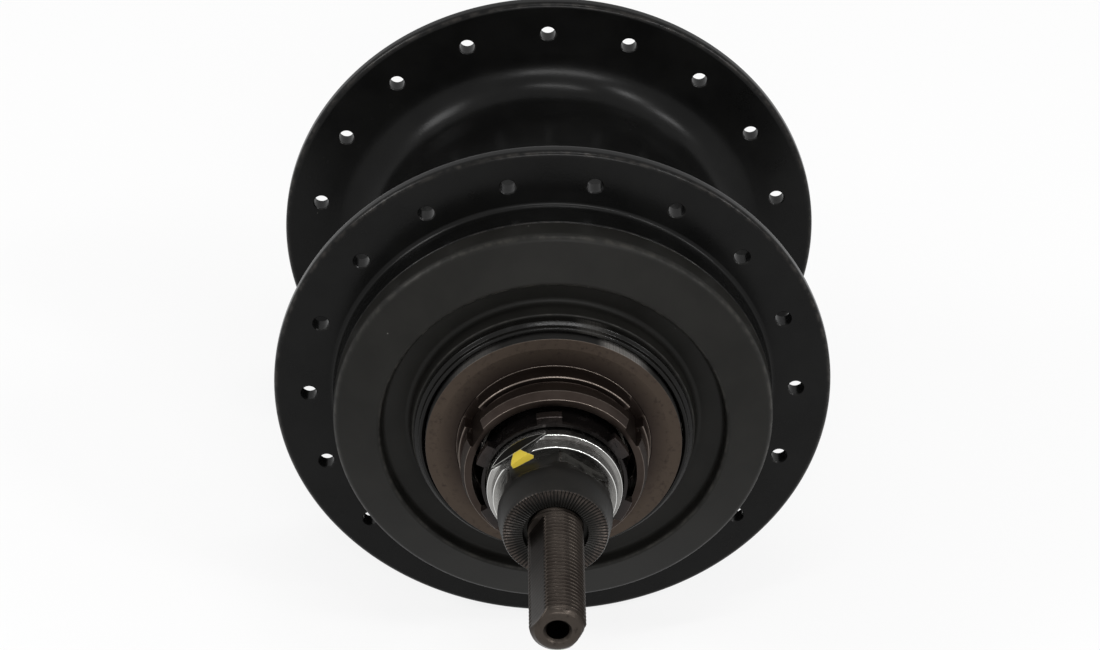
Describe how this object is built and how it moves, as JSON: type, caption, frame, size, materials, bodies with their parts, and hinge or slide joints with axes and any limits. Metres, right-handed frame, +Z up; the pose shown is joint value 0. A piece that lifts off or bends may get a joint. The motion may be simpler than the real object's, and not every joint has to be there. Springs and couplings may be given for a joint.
{
  "type": "internal gear hub",
  "caption": "Bicycle rear hub with two drilled spoke flanges, a stepped end cover, a sprocket driver, a threaded axle with flats and a planetary gear train inside.",
  "frame": {"origin": "on the axle's centre line, midway between the outer faces of the two locknuts", "axes": "the axle lies along Y with the sprocket end at -Y, and Z is up"},
  "size_m": [0.103, 0.191, 0.103],
  "materials": {
    "shell_paint": "satin black",
    "cover_paint": "satin grey-black",
    "seal_rubber": "glossy black",
    "driver_steel": "dark turned steel",
    "cap_bronze": "bronze-tinted pressed steel",
    "axle_steel": "oiled threaded steel",
    "plated_steel": "bright plated",
    "nut_black": "blackened steel",
    "cone_steel": "ground steel",
    "shift_ring_steel": "oily dark steel",
    "gear_steel": "cut gear steel",
    "carrier_steel": "machined steel",
    "clutch_steel": "hardened ground steel",
    "ball_steel": "polished",
    "cage_steel": "pressed strip",
    "boss_steel": "dark machined steel"
  },
  "bodies": {
    "axle": {"axle": "axle_steel", "fixed_sun_gear": "gear_steel", "right_cone": "cone_steel", "alignment_ring": "plated_steel", "right_locknut": "nut_black", "left_cone": "cone_steel", "left_lock_washer": "nut_black", "left_locknut": "nut_black"},
    "shell": {"hub_shell": "shell_paint", "right_cover": "cover_paint", "right_seal": "seal_rubber", "brake_boss": "boss_steel", "left_dust_cap": "boss_steel", "clutch_race": "clutch_steel"},
    "driver": {"driver": "driver_steel", "driver_dust_cap": "cap_bronze", "carrier_left_plate": "carrier_steel", "carrier_right_plate": "carrier_steel", "planet_pins": "carrier_steel"},
    "ring_gear": {"ring_gear": "gear_steel", "clutch_cam": "clutch_steel", "clutch_rollers": "clutch_steel", "roller_cage": "clutch_steel"},
    "planet_1": {"planet_gear_1": "gear_steel"},
    "planet_2": {"planet_gear_2": "gear_steel"},
    "planet_3": {"planet_gear_3": "gear_steel"},
    "free_sun": {"free_sun_gear": "gear_steel"},
    "shift_ring": {"shift_ring": "shift_ring_steel"},
    "shell_ball_set": {"shell_balls": "ball_steel", "shell_ball_cage": "cage_steel"},
    "driver_ball_set": {"driver_balls": "ball_steel", "driver_ball_cage": "cage_steel"},
    "left_ball_set": {"left_balls": "ball_steel", "left_ball_cage": "cage_steel"}
  },
  "joints": [
    {"name": "shell_spin", "type": "hinge", "parent": "axle", "child": "shell", "pos_m": [0, 0, 0], "axis": [0, -1, 0], "continuous": true},
    {"name": "driver_spin", "type": "hinge", "parent": "axle", "child": "driver", "pos_m": [0, 0, 0], "axis": [0, -1, 0], "continuous": true},
    {"name": "ring_gear_spin", "type": "hinge", "parent": "axle", "child": "ring_gear", "pos_m": [0, 0, 0], "axis": [0, -1, 0], "continuous": true},
    {"name": "free_sun_spin", "type": "hinge", "parent": "axle", "child": "free_sun", "pos_m": [0, 0, 0], "axis": [0, -1, 0], "continuous": true},
    {"name": "planet_1_spin", "type": "hinge", "parent": "driver", "child": "planet_1", "pos_m": [0.018, -0.00125, 0], "axis": [0, -1, 0], "continuous": true},
    {"name": "planet_2_spin", "type": "hinge", "parent": "driver", "child": "planet_2", "pos_m": [-0.009, -0.00125, 0.01559], "axis": [0, -1, 0], "continuous": true},
    {"name": "planet_3_spin", "type": "hinge", "parent": "driver", "child": "planet_3", "pos_m": [-0.009, -0.00125, -0.01559], "axis": [0, -1, 0], "continuous": true},
    {"name": "shell_balls_roll", "type": "hinge", "parent": "axle", "child": "shell_ball_set", "pos_m": [0, 0, 0], "axis": [0, -1, 0], "continuous": true},
    {"name": "driver_balls_roll", "type": "hinge", "parent": "axle", "child": "driver_ball_set", "pos_m": [0, 0, 0], "axis": [0, -1, 0], "continuous": true},
    {"name": "left_balls_roll", "type": "hinge", "parent": "axle", "child": "left_ball_set", "pos_m": [0, 0, 0], "axis": [0, -1, 0], "continuous": true},
    {"name": "shift_ring_turn", "type": "hinge", "parent": "axle", "child": "shift_ring", "pos_m": [0, -0.049, 0], "axis": [0, -1, 0], "range_deg": [0, 60], "stiffness_Nm_per_rad": 0.02, "springref_deg": -11.46}
  ],
  "couplings": [
    {"joint": "driver_spin", "follows": "shell_spin", "ratio": 0.75},
    {"joint": "ring_gear_spin", "follows": "shell_spin", "ratio": 1},
    {"joint": "free_sun_spin", "follows": "shell_spin", "ratio": 0.25},
    {"joint": "planet_1_spin", "follows": "shell_spin", "ratio": 0.75},
    {"joint": "planet_2_spin", "follows": "shell_spin", "ratio": 0.75},
    {"joint": "planet_3_spin", "follows": "shell_spin", "ratio": 0.75},
    {"joint": "shell_balls_roll", "follows": "shell_spin", "ratio": 0.8825},
    {"joint": "driver_balls_roll", "follows": "shell_spin", "ratio": 0.4174},
    {"joint": "left_balls_roll", "follows": "shell_spin", "ratio": 0.5683}
  ]
}
